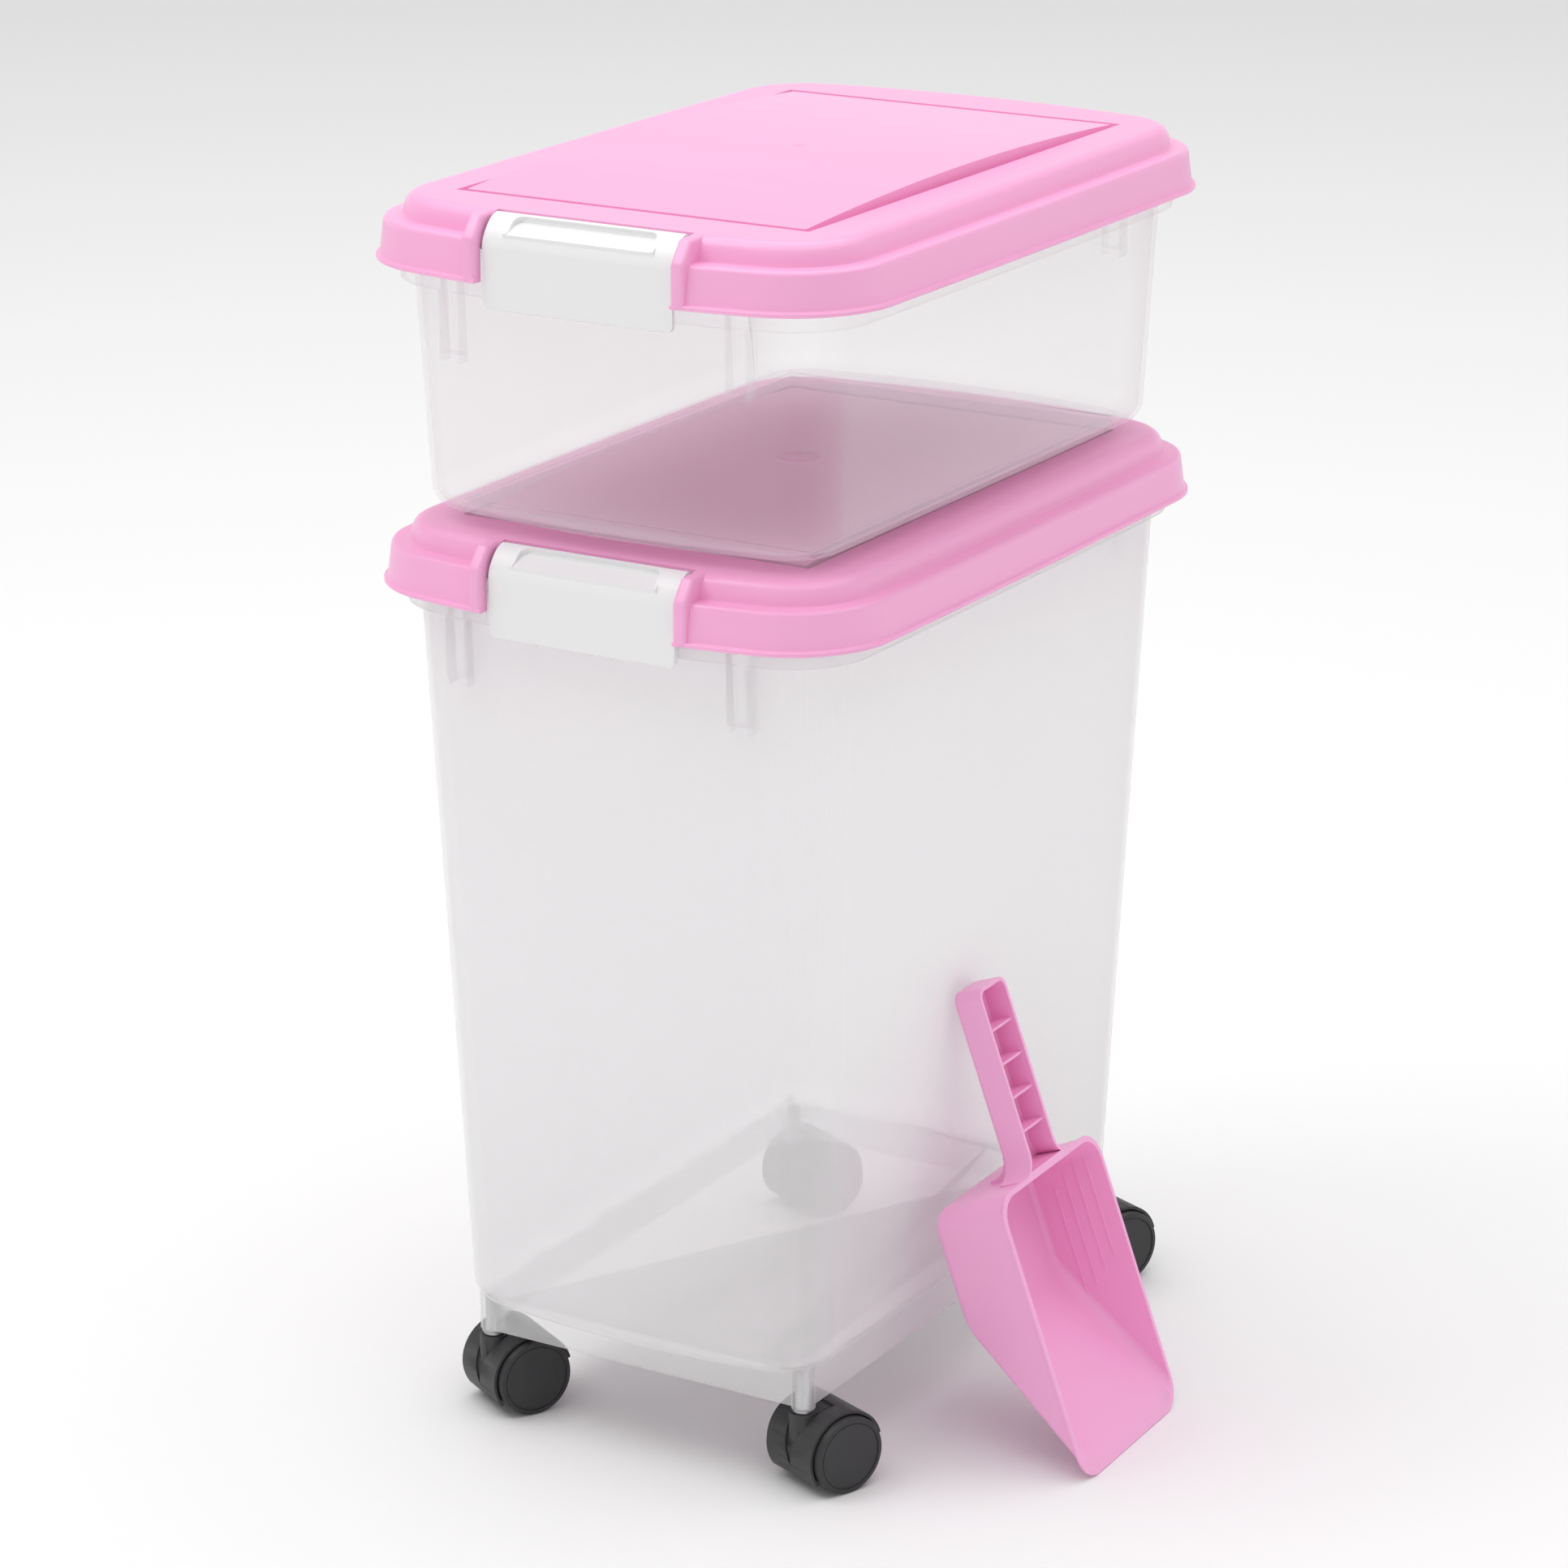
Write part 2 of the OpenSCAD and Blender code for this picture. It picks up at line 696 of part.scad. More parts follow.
module caster_wheel(side) {
  edge = 1.1;
  mid_x = side * (wheel_gap + wheel_w) / 2;
  color("darkslategray")
    difference() {
      translate([mid_x, trail, wheel_r]) {
        along_x(wheel_r, wheel_w - 2 * edge);
        along_x(wheel_r - edge, wheel_w);
      }
      translate([mid_x - side * 1.5, trail, wheel_r]) along_x(axle_r + run_gap, wheel_w);
      translate([mid_x + side * wheel_w / 2, trail, wheel_r]) along_x(wheel_r - 2.6, 0.8);
    }
}

module at_set() {
  translate([set_x, 0, 0]) children();
}

at_set() tall_bin();
at_set() tall_lid();
at_set() tall_lid_seal();
at_set() tall_latch();
at_set() tall_hinge_pins();
at_set() shallow_bin();
at_set() shallow_lid();
at_set() shallow_lid_seal();
at_set() shallow_latch();
at_set() shallow_hinge_pins();
at_set() scoop();
for (i = [0:3]) {
  at_set() at_caster(i) caster_stem();
  at_set() at_caster(i) caster_hood();
  at_set() at_caster(i) caster_axle();
  at_set() at_caster(i) caster_wheel(-1);
  at_set() at_caster(i) caster_wheel(1);
}
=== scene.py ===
"""A tall pet food bin on casters, with a shallow bin stacked in its lid, two latches and a scoop."""

import json
import math

import bpy
import numpy as np
from mathutils import Matrix, Vector


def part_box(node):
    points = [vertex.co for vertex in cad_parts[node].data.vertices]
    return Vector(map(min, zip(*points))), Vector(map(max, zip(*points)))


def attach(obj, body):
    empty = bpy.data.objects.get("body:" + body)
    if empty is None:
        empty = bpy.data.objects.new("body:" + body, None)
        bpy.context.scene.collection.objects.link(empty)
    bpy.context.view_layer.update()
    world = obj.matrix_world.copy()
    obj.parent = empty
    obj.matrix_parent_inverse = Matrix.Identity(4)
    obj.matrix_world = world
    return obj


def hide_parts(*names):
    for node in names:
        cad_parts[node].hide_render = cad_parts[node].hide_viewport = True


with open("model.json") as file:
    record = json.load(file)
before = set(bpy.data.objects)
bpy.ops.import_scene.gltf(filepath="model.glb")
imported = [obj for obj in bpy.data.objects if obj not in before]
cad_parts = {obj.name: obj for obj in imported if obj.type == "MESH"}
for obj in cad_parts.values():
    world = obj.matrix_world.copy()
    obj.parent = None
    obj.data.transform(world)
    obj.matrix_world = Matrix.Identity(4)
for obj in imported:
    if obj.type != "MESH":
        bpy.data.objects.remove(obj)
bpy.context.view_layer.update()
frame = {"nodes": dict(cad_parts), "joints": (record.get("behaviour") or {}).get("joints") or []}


# ---- Tubs ----
# The two tubs are thin injection mouldings in polypropylene: the tall one frosted, the shallow one
# clear. Each has bowed sides, a round floor edge, a turned-down rim flange, ribs under it and a
# square foot ring. Lengths in this file are millimetres, and solid() turns them into metres.

MM = 0.001


def node_box(node):
    """Lowest and highest corner of a CAD node, in millimetres."""
    low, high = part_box(node)
    return np.array(low) / MM, np.array(high) / MM


lid_low, lid_high = node_box("tall_lid")
middle_x = (lid_low[0] + lid_high[0]) / 2
lid_w = lid_high[0] - lid_low[0]
lid_l = 2 * lid_high[1]
lid_corner = 53.0
bow_end = 7.0
bow_side = 1.0
end_r = ((lid_w / 2 - lid_corner) ** 2 + bow_end**2) / (2 * bow_end)
side_r = ((lid_l / 2 - lid_corner) ** 2 + bow_side**2) / (2 * bow_side)


def end_fall(x):
    """How far a bowed end has fallen back at x from the middle."""
    return end_r - math.sqrt(end_r**2 - x**2)


def whole_loop(quarter):
    """Mirrors a quarter that runs from +X to +Y into a closed loop."""
    q = np.array(quarter)
    back = q[::-1]
    return np.vstack([q, back[1:] * [-1, 1], q[1:] * [-1, -1], back[1:-1] * [1, -1]])


def bowed(inset, corner=None):
    """The bins' and lids' plan outline, taken in by inset, with corners that touch the bows."""
    r = lid_corner - inset if corner is None else corner
    a, b = end_r - lid_l / 2, side_r - lid_w / 2
    ra, rb = end_r - inset - r, side_r - inset - r
    d = math.hypot(a, b)
    u = (ra * ra - rb * rb + d * d) / (2 * d)
    v = math.sqrt(ra * ra - u * u)
    cx, cy = (v * a - u * b) / d, (u * a + v * b) / d - a
    side_a, end_a = math.atan2(cy, cx + b), math.atan2(cy + a, cx)
    side = [(t, side_r - inset, -b, 0) for t in np.linspace(0, side_a, 7)[:-1]]
    round_ = [(t, r, cx, cy) for t in np.linspace(side_a, end_a, 17)]
    end = [(t, end_r - inset, 0, -a) for t in np.linspace(end_a, math.pi / 2, 9)[1:]]
    return whole_loop([(x + s * math.cos(t), y + s * math.sin(t)) for t, s, x, y in side + round_ + end])


def rectangle(w, l, r, steps=4):
    """A rectangle's plan outline with round corners."""
    arc = [(w / 2 - r + r * math.cos(t), l / 2 - r + r * math.sin(t)) for t in np.linspace(0,
        math.pi / 2, steps)]
    return whole_loop([(w / 2, 0)] + arc + [(0, l / 2)])


def circle(r, x=0.0, y=0.0, steps=48):
    """A circle's plan outline."""
    t = np.linspace(0, 2 * math.pi, steps, endpoint=False)
    return np.stack([x + r * np.cos(t), y + r * np.sin(t)], axis=1)


def skin(loops, ring=False):
    """Points and faces of a skin through equal loops, each (plan points, height). A ring closes on itself."""
    n, m = len(loops[0][0]), len(loops)
    points = [(x, y, z) for plan, z in loops for x, y in plan]
    faces = []
    for i in range(m if ring else m - 1):
        j = (i + 1) % m
        faces += [(i * n + k, i * n + (k + 1) % n, j * n + (k + 1) % n, j * n + k) for k in range(n)]
    if not ring:
        faces += [tuple(range(n))[::-1], tuple((m - 1) * n + k for k in range(n))]
    return points, faces


def solid(name, shape, place=None):
    """A closed solid from points in millimetres, put in place by a matrix in metres."""
    points, faces = shape
    mesh = bpy.data.meshes.new(name)
    mesh.from_pydata((np.array(points, float) * MM).tolist(), [], faces)
    if place is not None:
        mesh.transform(place)
    mesh.validate()
    obj = bpy.data.objects.new(name, mesh)
    bpy.context.scene.collection.objects.link(obj)
    return obj


def settle(obj):
    """Makes an object's modifiers part of its mesh."""
    bpy.context.view_layer.update()
    graph = bpy.context.evaluated_depsgraph_get()
    mesh = bpy.data.meshes.new_from_object(obj.evaluated_get(graph), depsgraph=graph)
    obj.modifiers.clear()
    obj.data = mesh
    return obj


def combine(body, operation, tools):
    """Joins to a solid, or cuts from it, every tool, and removes the tools."""
    for tool in tools:
        step = body.modifiers.new(operation, "BOOLEAN")
        step.operation = operation
        step.solver = "MANIFOLD"
        step.object = tool
    settle(body)
    for tool in tools:
        bpy.data.objects.remove(tool)
    return body


def soften(body, radius, angle=32, steps=2, shaded_edge_slot=-1):
    """Rounds a moulding's sharp edges a little and shades the rest smooth. The rounded edges can take their own
    material slot, which holds painted edge shade on the bins.
    """
    edge = body.modifiers.new("edge", "BEVEL")
    # The rounded edge faces can go to another material slot; the bins put a painted edge shade material there.
    edge.material = shaded_edge_slot
    edge.width = radius * MM
    edge.segments = steps
    edge.limit_method = "ANGLE"
    edge.angle_limit = math.radians(angle)
    settle(body)
    body.data.shade_smooth()
    body.data.set_sharp_from_angle(angle=math.radians(40))
    even = body.modifiers.new("even", "WEIGHTED_NORMAL")
    even.keep_sharp = True
    return settle(body)


def dress(body, material):
    """Gives a whole piece one material."""
    body.data.materials.clear()
    body.data.materials.append(material)
    body.data.polygons.foreach_set("material_index", [0] * len(body.data.polygons))


def centred(plan):
    """Moves a plan outline onto the bins' own middle."""
    return plan + [middle_x, 0]


def rib_blocks(rib_x, rib_y, top, drop):
    """Four ribs under a rim flange, two at each end, as one mesh. Each is a block between two longer fins."""
    tree = bpy.data.node_groups.new("rim ribs", "GeometryNodeTree")
    face = tree.interface
    face.new_socket("Geometry", in_out="OUTPUT", socket_type="NodeSocketGeometry")
    for label in ("Rib X", "Rib Y", "Top", "Drop"):
        face.new_socket(label, in_out="INPUT", socket_type="NodeSocketFloat")
    new, link = tree.nodes.new, tree.links.new
    given, out = new("NodeGroupInput"), new("NodeGroupOutput")
    join = new("GeometryNodeJoinGeometry")
    for width, depth, longer, shift in ((11, 16, 0, 0), (1.3, 17, 4, 5.4), (1.3, 17, 4, -5.4)):
        size = new("ShaderNodeCombineXYZ")
        block = new("GeometryNodeMeshCube")
        move = new("GeometryNodeTransform")
        height, place, half = new("ShaderNodeMath"), new("ShaderNodeCombineXYZ"), new("ShaderNodeMath")
        size.inputs["X"].default_value = width * MM
        size.inputs["Y"].default_value = depth * MM
        height.operation = "ADD"
        height.inputs[1].default_value = longer * MM
        link(given.outputs["Drop"], height.inputs[0])
        link(height.outputs[0], size.inputs["Z"])
        link(size.outputs[0], block.inputs["Size"])
        half.operation = "MULTIPLY"
        half.inputs[1].default_value = -0.5
        link(height.outputs[0], half.inputs[0])
        place.inputs["X"].default_value = shift * MM
        place.inputs["Y"].default_value = -depth * MM / 2
        link(half.outputs[0], place.inputs["Z"])
        link(block.outputs["Mesh"], move.inputs["Geometry"])
        link(place.outputs[0], move.inputs["Translation"])
        link(move.outputs["Geometry"], join.inputs["Geometry"])
    every = new("GeometryNodeJoinGeometry")
    for side in (-1, 1):
        for end in (-1, 1):
            spot, move = new("ShaderNodeCombineXYZ"), new("GeometryNodeTransform")
            for axis, sign, label in (("X", side, "Rib X"), ("Y", end, "Rib Y")):
                times = new("ShaderNodeMath")
                times.operation = "MULTIPLY"
                times.inputs[1].default_value = sign
                link(given.outputs[label], times.inputs[0])
                link(times.outputs[0], spot.inputs[axis])
            link(given.outputs["Top"], spot.inputs["Z"])
            link(join.outputs["Geometry"], move.inputs["Geometry"])
            link(spot.outputs[0], move.inputs["Translation"])
            move.inputs["Rotation"].default_value = (0, 0, 0 if end > 0 else math.pi)
            link(move.outputs["Geometry"], every.inputs["Geometry"])
    whole = new("GeometryNodeRealizeInstances")
    link(every.outputs["Geometry"], whole.inputs["Geometry"])
    finish = new("GeometryNodeSetMaterial")
    link(whole.outputs["Geometry"], finish.inputs["Geometry"])
    link(finish.outputs["Geometry"], out.inputs["Geometry"])
    ribs = solid("ribs", ([(0, 0, 0)], []))
    grow = ribs.modifiers.new("ribs", "NODES")
    grow.node_group = tree
    sizes = {"Rib X": rib_x, "Rib Y": rib_y, "Top": top, "Drop": drop}
    for item in tree.interface.items_tree:
        if item.name in sizes:
            grow[item.identifier] = sizes[item.name] * MM
    settle(ribs)
    ribs.data.transform(Matrix.Translation((middle_x * MM, 0, 0)))
    return ribs


def plastic(name, colour, roughness, grain, grain_depth, mottle=0.03, alpha=1.0, edge_alpha=None):
    """Moulded plastic: a faint mottle in its colour, a fine bumpy skin, and its see-through share."""
    material = bpy.data.materials.new(name)
    material.use_nodes = True
    nodes, link = material.node_tree.nodes, material.node_tree.links.new
    shader = nodes["Principled BSDF"]
    shader.inputs["Roughness"].default_value = roughness
    shader.inputs["IOR"].default_value = 1.49
    where = nodes.new("ShaderNodeTexCoord")
    cloud = nodes.new("ShaderNodeTexNoise")
    cloud.inputs["Scale"].default_value = 9
    cloud.inputs["Detail"].default_value = 3
    link(where.outputs["Object"], cloud.inputs["Vector"])
    tint = nodes.new("ShaderNodeMix")
    tint.data_type = "RGBA"
    tint.inputs["A"].default_value = (*[c * (1 - mottle) for c in colour], 1)
    tint.inputs["B"].default_value = (*[min(1, c * (1 + mottle)) for c in colour], 1)
    link(cloud.outputs["Fac"], tint.inputs["Factor"])
    link(tint.outputs["Result"], shader.inputs["Base Color"])
    fine = nodes.new("ShaderNodeTexNoise")
    fine.inputs["Scale"].default_value = grain
    fine.inputs["Detail"].default_value = 4
    link(where.outputs["Object"], fine.inputs["Vector"])
    bump = nodes.new("ShaderNodeBump")
    bump.inputs["Strength"].default_value = 0.6
    bump.inputs["Distance"].default_value = grain_depth * MM
    link(fine.outputs["Fac"], bump.inputs["Height"])
    link(bump.outputs["Normal"], shader.inputs["Normal"])
    if edge_alpha is not None:
        facing = nodes.new("ShaderNodeLayerWeight")
        facing.inputs["Blend"].default_value = 0.15
        see = nodes.new("ShaderNodeMapRange")
        see.inputs["To Min"].default_value = alpha
        see.inputs["To Max"].default_value = edge_alpha
        link(facing.outputs["Facing"], see.inputs["Value"])
        link(see.outputs["Result"], shader.inputs["Alpha"])
    return material


wall = 2.2
rim_inset = 18.2
body_corner = 31.0
floor_edge = 12.0
flange_inset = 11.5
flange_h = 22.8
foot_w, foot_l, foot_t = 193.4, 311.0, 2.5
stem_x, stem_y = 91.7, 150.5
hinge_x, hinge_y, hinge_drop = 60.0, lid_l / 2 - 7, 4.2
rim_in_lid = 13.5


def floor_curve(inset, grow, z):
    """Loops of a tub's round floor edge, from the flat floor up to the wall."""
    r = floor_edge - grow
    turns = [math.radians(90 * k / 7) for k in range(8)]
    return [(bowed(inset + grow + r * (1 - math.sin(t)), body_corner - grow - r * (1 - math.sin(t))),
             z + r * (1 - math.cos(t))) for t in turns]


def tub(name, floor_inset, foot_z, floor_z, rim_z):
    """A whole bin moulding without its material."""
    outside = floor_curve(floor_inset, 0, floor_z)
    lip = [(bowed(rim_inset, body_corner), rim_z - 0.6), (bowed(rim_inset + 0.6, body_corner - 0.6), rim_z),
           (bowed(rim_inset + wall - 0.4, body_corner - wall + 0.4), rim_z),
           (bowed(rim_inset + wall, body_corner - wall), rim_z - 0.4)]
    inside = floor_curve(floor_inset, wall, floor_z + wall)[::-1]
    body = solid(name, skin([(centred(p), z) for p, z in outside + lip + inside]))
    hem = rim_z - flange_h
    flange = [(bowed(flange_inset + 0.5), hem), (bowed(flange_inset), hem + 0.5),
        (bowed(flange_inset), rim_z - 1),
              (bowed(flange_inset + 0.3), rim_z - 0.3), (bowed(flange_inset + 1), rim_z),
              (bowed(rim_inset + 1, body_corner - 1), rim_z),
              (bowed(rim_inset + 1, body_corner - 1), rim_z - wall),
              (bowed(flange_inset + wall), rim_z - wall), (bowed(flange_inset + wall), hem + 0.5),
              (bowed(flange_inset + wall - 0.5), hem)]
    foot = [(rectangle(foot_w, foot_l, 0.8), floor_z + 5),
        (rectangle(foot_w - 2 * foot_t, foot_l - 2 * foot_t, 0.6), floor_z + 5),
            (rectangle(foot_w - 2 * foot_t, foot_l - 2 * foot_t, 0.6), foot_z),
            (rectangle(foot_w, foot_l, 0.8), foot_z)][::-1]
    rib_x = 78.75
    rib_y = lid_l / 2 - rim_inset - end_fall(rib_x) + 5
    parts = [solid("flange", skin([(centred(p), z) for p, z in flange], ring=True)),
             solid("foot", skin([(centred(p), z) for p, z in foot], ring=True)),
             rib_blocks(rib_x, rib_y, rim_z - 3, flange_h + 27)]
    axis_z = rim_z - rim_in_lid - hinge_drop
    across = Matrix.Rotation(math.pi / 2, 4, "Y")
    for side in (-1, 1):
        for ear in (-1, 1):
            at = Vector((middle_x + side * hinge_x + ear * 7.9, hinge_y, axis_z)) * MM
            root = 9.7
            drum = skin([(circle(3.6), -2), (circle(3.6), 2)])
            web = skin([(rectangle(7.2, root, 0.3) - [0, root / 2], -2),
                (rectangle(7.2, root, 0.3) - [0, root / 2], 2)])
            parts += [solid("ear", shape, Matrix.Translation(at) @ across) for shape in (drum, web)]
    combine(body, "UNION", parts)
    hollow = floor_curve(floor_inset, wall, floor_z + wall)
    hollow.append((bowed(rim_inset + wall, body_corner - wall), rim_z + 0.1))
    pins = Matrix.Translation(Vector((middle_x, hinge_y, axis_z)) * MM) @ across
    combine(body, "DIFFERENCE", [solid("hollow", skin([(centred(p), z) for p, z in hollow])),
                                 solid("bore", skin([(circle(1.8), -90), (circle(1.8), 90)]), pins)])
    gate = skin([(circle(11, middle_x), floor_z + wall - 0.5), (circle(11, middle_x), floor_z + wall + 0.4),
                 (circle(9.6, middle_x), floor_z + wall + 0.5), (circle(3, middle_x), floor_z + wall + 0.3),
                 (circle(2, middle_x), floor_z + wall + 1.2)])
    return combine(body, "UNION", [solid("gate", gate)])


tall_low, tall_high = node_box("tall_bin")
socket_r = 6.0
tall_bin = tub("tall_bin_moulding", 33.5, tall_low[2] + 2, tall_low[2] + 20, tall_high[2])
stems = [(middle_x + x * stem_x, y * stem_y) for x in (-1, 1) for y in (-1, 1)]
combine(tall_bin, "UNION", [solid("socket", skin([
    (circle(socket_r - 0.5, x, y), tall_low[2]), (circle(socket_r, x, y), tall_low[2] + 0.5),
    (circle(socket_r, x, y), tall_low[2] + 22)])) for x, y in stems])
combine(tall_bin, "DIFFERENCE", [solid("bore", skin([
    (circle(4.05, x, y), tall_low[2] - 1), (circle(4.05, x, y), tall_low[2] + 20)])) for x, y in stems])
dress(tall_bin, plastic("frosted_polypropylene", (0.95, 0.95, 0.955), 0.38, 420, 0.04, 0.012, 0.27, 0.7))
# Slot 1 is painted edge shade: a greyer, more opaque copy of the frosted plastic on the rounded edges. It stands in
# for the lines that light bending through the wall draws there.
tall_bin.data.materials.append(
    plastic("frosted_polypropylene_painted_edge_shade", (0.86, 0.86, 0.865), 0.3, 420, 0.04, 0.012, 0.6, 0.8))
soften(tall_bin, 0.4, shaded_edge_slot=1)
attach(tall_bin, "tall_bin")
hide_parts("tall_bin")

shallow_low, shallow_high = node_box("shallow_bin")
shallow_bin = tub("shallow_bin_moulding", 23.7, shallow_low[2], shallow_low[2] + 8, shallow_high[2])
dress(shallow_bin, plastic("clear_polypropylene", (0.94, 0.94, 0.95), 0.16, 90, 0.03, 0.01, 0.035, 0.55))
# Slot 1 is a whiter, less see-through copy of the clear plastic. It goes on the flat floor faces and on the foot
# ring below.
whiter_floor = plastic("clear_polypropylene_floor", (0.96, 0.95, 0.97), 0.2, 90, 0.03, 0.01, 0.22, 0.5)
shallow_bin.data.materials.append(whiter_floor)
# Slot 2 is painted edge shade: a dark grey, more opaque copy of the clear plastic on the rounded edges. It stands in
# for the dark lines that light bending through the clear wall draws there.
shallow_bin.data.materials.append(
    plastic("clear_polypropylene_painted_edge_shade", (0.5, 0.5, 0.52), 0.12, 90, 0.03, 0.01, 0.45, 0.7))
for face in shallow_bin.data.polygons:
    height = face.center.z / MM - shallow_low[2]
    if height < 10.6 and (abs(face.normal.z) > 0.9 or height < 7.9):
        face.material_index = 1
soften(shallow_bin, 0.35, shaded_edge_slot=2)
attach(shallow_bin, "shallow_bin")
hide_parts("shallow_bin")


# ---- Lids ----
# Both lids are the same pink moulding: a flared lip, a drafted skirt, a shelf and a raised shoulder,
# then a flat border round a groove and a crowned panel. The notch in front holds the latch.

lid_h = 31.4
lid_t = 2.2
step_h = 20.4
roof_h = step_h - lid_t
groove_w, groove_d = 4.0, 3.0
groove_out = (194.4, 312.0)
crown_h = lid_high[2] - lid_low[2] - lid_h - 7.6
latch_half, latch_slack, cheek_w = 51.75, 1.75, 7.0
pivot_y, pivot_z = -lid_l / 2 + 21.2, lid_h - 3.5
notch_back = pivot_y + 4.1
notch_shelf = -lid_l / 2 + flange_inset + 0.5
notch_half = latch_half + latch_slack


def prism_x(outline, x0, x1):
    """A solid with a (y, z) outline that runs from x0 to x1."""
    n = len(outline)
    points = [(x0, y, z) for y, z in outline] + [(x1, y, z) for y, z in outline]
    faces = [(k, (k + 1) % n, n + (k + 1) % n, n + k) for k in range(n)]
    faces += [tuple(range(n))[::-1], tuple(range(n, 2 * n))]
    after = outline[1:] + outline[:1]
    area = sum(y0 * z1 - y1 * z0 for (y0, z0), (y1, z1) in zip(outline, after))
    return points, faces if area > 0 else [f[::-1] for f in faces]


def block(x0, x1, y0, y1, z0, z1):
    """An upright box as a solid shape."""
    return prism_x([(y0, z0), (y1, z0), (y1, z1), (y0, z1)], x0, x1)


def crown(drop):
    """The panel's crown: an arc over its length, with the sides that reach down to the border."""
    half_w = groove_out[0] / 2 - groove_w - drop
    half_l = groove_out[1] / 2 - groove_w
    arc_r = (half_l**2 + crown_h**2) / (2 * crown_h)
    ys = np.linspace(half_l - drop, drop - half_l, 41)
    arc = [(y, lid_h + crown_h - drop - arc_r + math.sqrt(arc_r**2 - y * y)) for y in ys]
    return prism_x([(drop - half_l, roof_h + 6.5), (half_l - drop, roof_h + 6.5)] + arc, -half_w, half_w)


def cheek(x0):
    """One side of the latch's notch, from the border down to the lip."""
    y = -lid_l / 2 + 3
    side = [(notch_back + lid_t, lid_h), (y + 9, lid_h), (y + 7.6, lid_h - 0.6), (y + 1, step_h + 1.6),
        (y, step_h - 0.4),
            (y, 0), (y + 6, 0), (y + 6, roof_h), (notch_back + lid_t, roof_h)]
    return prism_x(side, x0, x0 + cheek_w)


def rounded_cheek(x0):
    """A cheek with its edges rounded, as the lid's outside shows it."""
    body = solid("cheek", cheek(x0))
    edge = body.modifiers.new("edge", "BEVEL")
    edge.width = 1.8 * MM
    edge.segments = 4
    edge.limit_method = "ANGLE"
    edge.angle_limit = math.radians(30)
    return settle(body)


def lid_shape():
    """The whole lid moulding, with the lower edge of its lip at height 0."""
    skirt = [(4.0, 0), (0.4, 0), (0, 0.4), (0, 1.7), (0.4, 2.15), (1.3, 2.3), (1.75, 2.7), (1.95, 3.6),
        (3.75, 17.6), (4.1, 18.9),
             (4.8, 19.9), (5.9, 20.4), (12.3, 20.4), (12.9, 20.6), (13.25, 21.2), (13.4, 22.2),
             (13.9, 25.2), (14.7, 27.6),
             (16, 29.5), (17.8, 30.7), (19.8, 31.25), (22, 31.4)]
    body = solid("lid", skin([(bowed(i), z) for i, z in skirt]))
    inner = [(4.0, -1), (5.8, roof_h)]
    over = [(15.0, roof_h - 1), (15.6, 25), (17, 27.4), (19.5, lid_h - lid_t)]
    knuckles = []
    across = Matrix.Rotation(math.pi / 2, 4, "Y")
    for side in (-1, 1):
        at = Matrix.Translation(Vector((side * hinge_x, hinge_y, -hinge_drop)) * MM)
        knuckles.append(solid("knuckle", skin([(circle(3.4), -5.5), (circle(3.4), 5.5)]), at @ across))
        knuckles.append(solid("web", block(-5.5, 5.5, -3.4, 3.4, 0, 5.3), at))
    cheeks = [rounded_cheek(x) for x in (notch_half, -notch_half - cheek_w)]
    combine(body, "UNION", cheeks + knuckles + [solid("crown", crown(0))])
    skirt_hollow = solid("hollow", skin([(bowed(i), z) for i, z in inner]))
    combine(skirt_hollow, "DIFFERENCE", [solid("cheek", cheek(x)) for x in (notch_half,
        -notch_half - cheek_w)])
    top_hollow = solid("hollow", skin([(bowed(i), z) for i, z in over]))
    keep = [solid("keep", block(-notch_half - cheek_w, notch_half + cheek_w, -lid_l / 2 - 1,
        notch_back + lid_t, roof_h, 40))]
    rim = groove_w + 2 * lid_t
    wide, long = groove_out[0] + 2 * lid_t, groove_out[1] + 2 * lid_t
    low = lid_h - groove_d - lid_t
    keep.append(solid("keep", skin([(rectangle(wide, long, 0.5), low), (rectangle(wide, long, 0.5), 40),
                                    (rectangle(wide - 2 * rim, long - 2 * rim, 0.5), 40),
                                    (rectangle(wide - 2 * rim, long - 2 * rim, 0.5), low)], ring=True)))
    combine(top_hollow, "DIFFERENCE", keep)
    wide, long = groove_out
    groove = skin([(rectangle(wide - 0.6, long - 0.6, 0.6), lid_h - groove_d),
        (rectangle(wide, long, 0.8), lid_h + 9),
                   (rectangle(wide - 2 * groove_w, long - 2 * groove_w, 0.8), lid_h + 9),
                   (rectangle(wide - 2 * groove_w, long - 2 * groove_w, 0.8), lid_h - groove_d)], ring=True)
    front = -lid_l / 2 - 1
    pin = Matrix.Translation(Vector((0, pivot_y, pivot_z)) * MM) @ across
    rear_pin = Matrix.Translation(Vector((0, hinge_y, -hinge_drop)) * MM) @ across
    cuts = [skirt_hollow, top_hollow, solid("under", crown(lid_t)), solid("groove", groove),
            solid("notch", block(-notch_half, notch_half, front, notch_back, step_h, 60)),
            solid("notch", block(-notch_half, notch_half, front, notch_shelf, -1, 60)),
            solid("bore", skin([(circle(2.06), -56), (circle(2.06), 56)]), pin),
            solid("bore", skin([(circle(1.8), -70), (circle(1.8), 70)]), rear_pin)]
    combine(body, "DIFFERENCE", cuts)
    dimple = skin([(circle(1.2), lid_h + crown_h - 1), (circle(3.2), lid_h + crown_h + 0.02),
                   (circle(3.6), lid_h + crown_h + 1)])
    combine(body, "DIFFERENCE", [solid("dimple", dimple)])
    return soften(body, 0.45)


